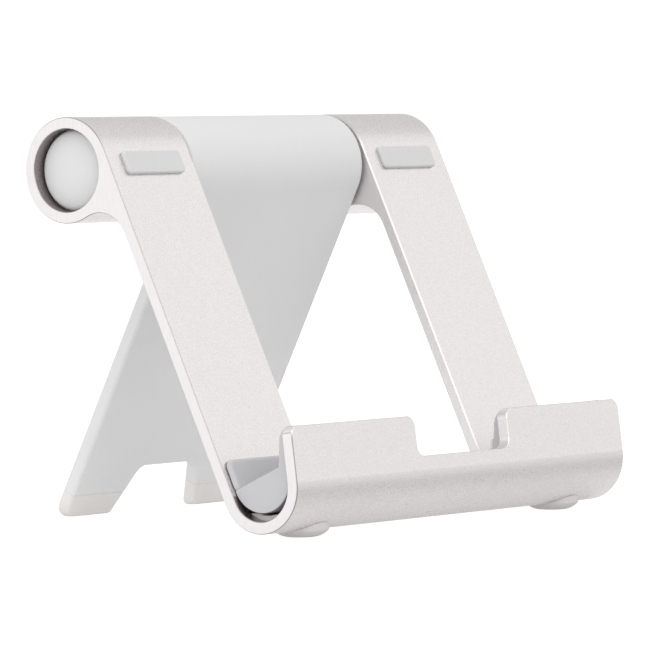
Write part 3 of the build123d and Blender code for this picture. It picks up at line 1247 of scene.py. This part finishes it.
@dataclass(frozen=True)
class Softbox:
    """A square soft light that faces the stand.

    Attributes:
        name: The light's name.
        spot: Its position.
        size: Its side.
        power: Its power in watts.
    """

    name: str
    spot: Triple
    size: float
    power: float

    def hang(self, target: Vector) -> None:
        """Put the light in the scene.

        Args:
            target: The point it faces.
        """
        data = bpy.data.lights.new(self.name, "AREA")
        data.size = self.size
        data.energy = self.power
        light = bpy.data.objects.new(self.name, data)
        bpy.context.scene.collection.objects.link(light)
        facing = (Vector(self.spot) - target).to_track_quat("Z", "Y").to_matrix().to_4x4()
        light.matrix_world = Matrix.Translation(self.spot) @ facing


@dataclass(frozen=True)
class Studio:
    """Camera, floor and lights.

    Attributes:
        azimuth: Degrees from the front towards the stand's left end.
        elevation: Degrees above the horizon.
        roll: Degrees the camera leans anticlockwise.
        distance: From the aim point, in metres.
        lens: Focal length in millimetres.
        sensor: Width of the camera's sensor in millimetres.
        clip: Nearest and farthest distance the camera sees.
        aim: The middle of the picture, from the hinge's middle, in millimetres.
        room_dim: Brightness of the room to the right of the stand and behind it.
        room_bright: Brightness of the rest of the room.
        dim_edge: Where the room turns from dim to bright, as parts of a unit vector.
        dim_height: Height above which the ceiling starts to brighten.
        seen_room: How bright the camera itself sees the room, at least.
        floor_reach: How far the floor runs each way.
        floor_tone: Matt share of the floor's brightness, as the stand sees it.
        floor_glow: The rest of it, which lightens the shadows, near the stand and in front of it.
        glow_reach: How far forward the glow starts to fall, and where it has fallen.
        seen_floor: Matt share and glow of the floor, as the camera sees it.
        lights: The soft lights.
    """

    azimuth: float = 52.71
    elevation: float = 2.28
    roll: float = -0.49
    distance: float = 1.2145
    lens: float = 305.15
    sensor: float = 36.0
    clip: tuple[float, float] = (0.01, 50.0)
    aim: Triple = (3.529, -20.664, -34.970)
    room_dim: float = 0.66
    room_bright: float = 1.02
    dim_edge: tuple[float, float] = (0.08, 0.36)
    dim_height: float = 0.5
    seen_room: float = 1.1
    floor_reach: float = 20.0
    floor_tone: float = 0.64
    floor_glow: tuple[float, float] = (0.33, 0.0)
    glow_reach: tuple[float, float] = (0.03, 0.07)
    seen_floor: tuple[float, float] = (0.35, 0.85)
    lights: tuple[Softbox, ...] = (
        Softbox("key", (-0.7, -0.9, 0.7), 0.8, 2.5),
        Softbox("end light", (-1.3, 0.2, 0.25), 0.9, 1.5),
    )

    def aim_point(self) -> Vector:
        """Give the middle of the picture in metres."""
        return HINGE + Vector(self.aim) * MM

    def camera(self) -> None:
        """Make the camera and set it as the scene's."""
        turn = math.radians(self.azimuth)
        lift = math.radians(self.elevation)
        flat = math.cos(lift)
        back = Vector((-math.sin(turn) * flat, -math.cos(turn) * flat, math.sin(lift)))
        data = bpy.data.cameras.new("camera")
        data.lens = self.lens
        data.sensor_width = self.sensor
        data.clip_start, data.clip_end = self.clip
        camera = bpy.data.objects.new("camera", data)
        bpy.context.scene.collection.objects.link(camera)
        facing = back.to_track_quat("Z", "Y").to_matrix().to_4x4()
        lean = Matrix.Rotation(math.radians(self.roll), 4, "Z")
        camera.matrix_world = Matrix.Translation(self.aim_point() + back * self.distance) @ facing @ lean
        bpy.context.scene.camera = camera

    def floor(self) -> None:
        """Make the pale floor, bright enough to run into the room without an edge."""
        mesh = bpy.data.meshes.new("floor")
        shape = bmesh.new()
        bmesh.ops.create_grid(shape, x_segments=1, y_segments=1, size=self.floor_reach)
        shape.to_mesh(mesh)
        shape.free()
        floor = bpy.data.objects.new("floor", mesh)
        bpy.context.scene.collection.objects.link(floor)
        material = bpy.data.materials.new("floor")
        material.use_nodes = True
        sheet = NodeSheet(material.node_tree)
        seen = sheet.add("ShaderNodeLightPath").outputs["Is Camera Ray"]
        choice = sheet.add("ShaderNodeMixShader")
        sheet.feed(choice, 0, seen)
        spot = sheet.add("ShaderNodeTexCoord").outputs["Object"]
        parts = sheet.add("ShaderNodeSeparateXYZ", Vector=spot)
        forward = sheet.math("MULTIPLY", parts.outputs[1], -1.0)
        glow = sheet.ramp(forward, *self.glow_reach, *self.floor_glow)
        for index, (tone, strength) in enumerate(((self.floor_tone, glow), self.seen_floor), 1):
            both = sheet.add("ShaderNodeAddShader")
            matt = sheet.add("ShaderNodeBsdfDiffuse", Color=opaque(WHITE[:3], tone))
            shine = sheet.add("ShaderNodeEmission", Color=WHITE, Strength=strength)
            sheet.feed(both, 0, matt.outputs[0])
            sheet.feed(both, 1, shine.outputs[0])
            sheet.feed(choice, index, both.outputs[0])
        leave = sheet.add("ShaderNodeOutputMaterial")
        sheet.tree.links.new(choice.outputs[0], leave.inputs[0])
        mesh.materials.append(material)

    def room(self) -> None:
        """Make a white room, dimmer to the right and behind."""
        world = bpy.data.worlds.new("studio")
        world.use_nodes = True
        sheet = NodeSheet(world.node_tree)
        way = sheet.add("ShaderNodeTexCoord").outputs["Generated"]
        parts = sheet.add("ShaderNodeSeparateXYZ", Vector=way)
        front = sheet.math("MULTIPLY", parts.outputs[1], -1.0)
        left = sheet.math("MULTIPLY", parts.outputs[0], -1.0)
        above = sheet.math("SUBTRACT", parts.outputs[2], self.dim_height)
        share = sheet.math("MAXIMUM", sheet.math("MAXIMUM", front, left), above)
        strength = sheet.ramp(share, *self.dim_edge, self.room_dim, self.room_bright)
        seen = sheet.add("ShaderNodeLightPath").outputs["Is Camera Ray"]
        brighter = sheet.math("MAXIMUM", strength, sheet.math("MULTIPLY", seen, self.seen_room))
        light = sheet.add("ShaderNodeBackground", Color=WHITE, Strength=brighter)
        leave = sheet.add("ShaderNodeOutputWorld")
        sheet.tree.links.new(light.outputs[0], leave.inputs[0])
        bpy.context.scene.world = world

    def build(self) -> None:
        """Set up the whole studio."""
        self.camera()
        self.floor()
        self.room()
        for light in self.lights:
            light.hang(self.aim_point())
        bpy.context.scene.view_settings.view_transform = "Standard"


def main() -> None:
    """Build and dress the stand, piece by piece."""
    logging.basicConfig(level=logging.INFO, format="%(name)s %(message)s")
    FrameSet().build()
    RearLeg().build()
    Studio().build()


if __name__ == "__main__":
    main()
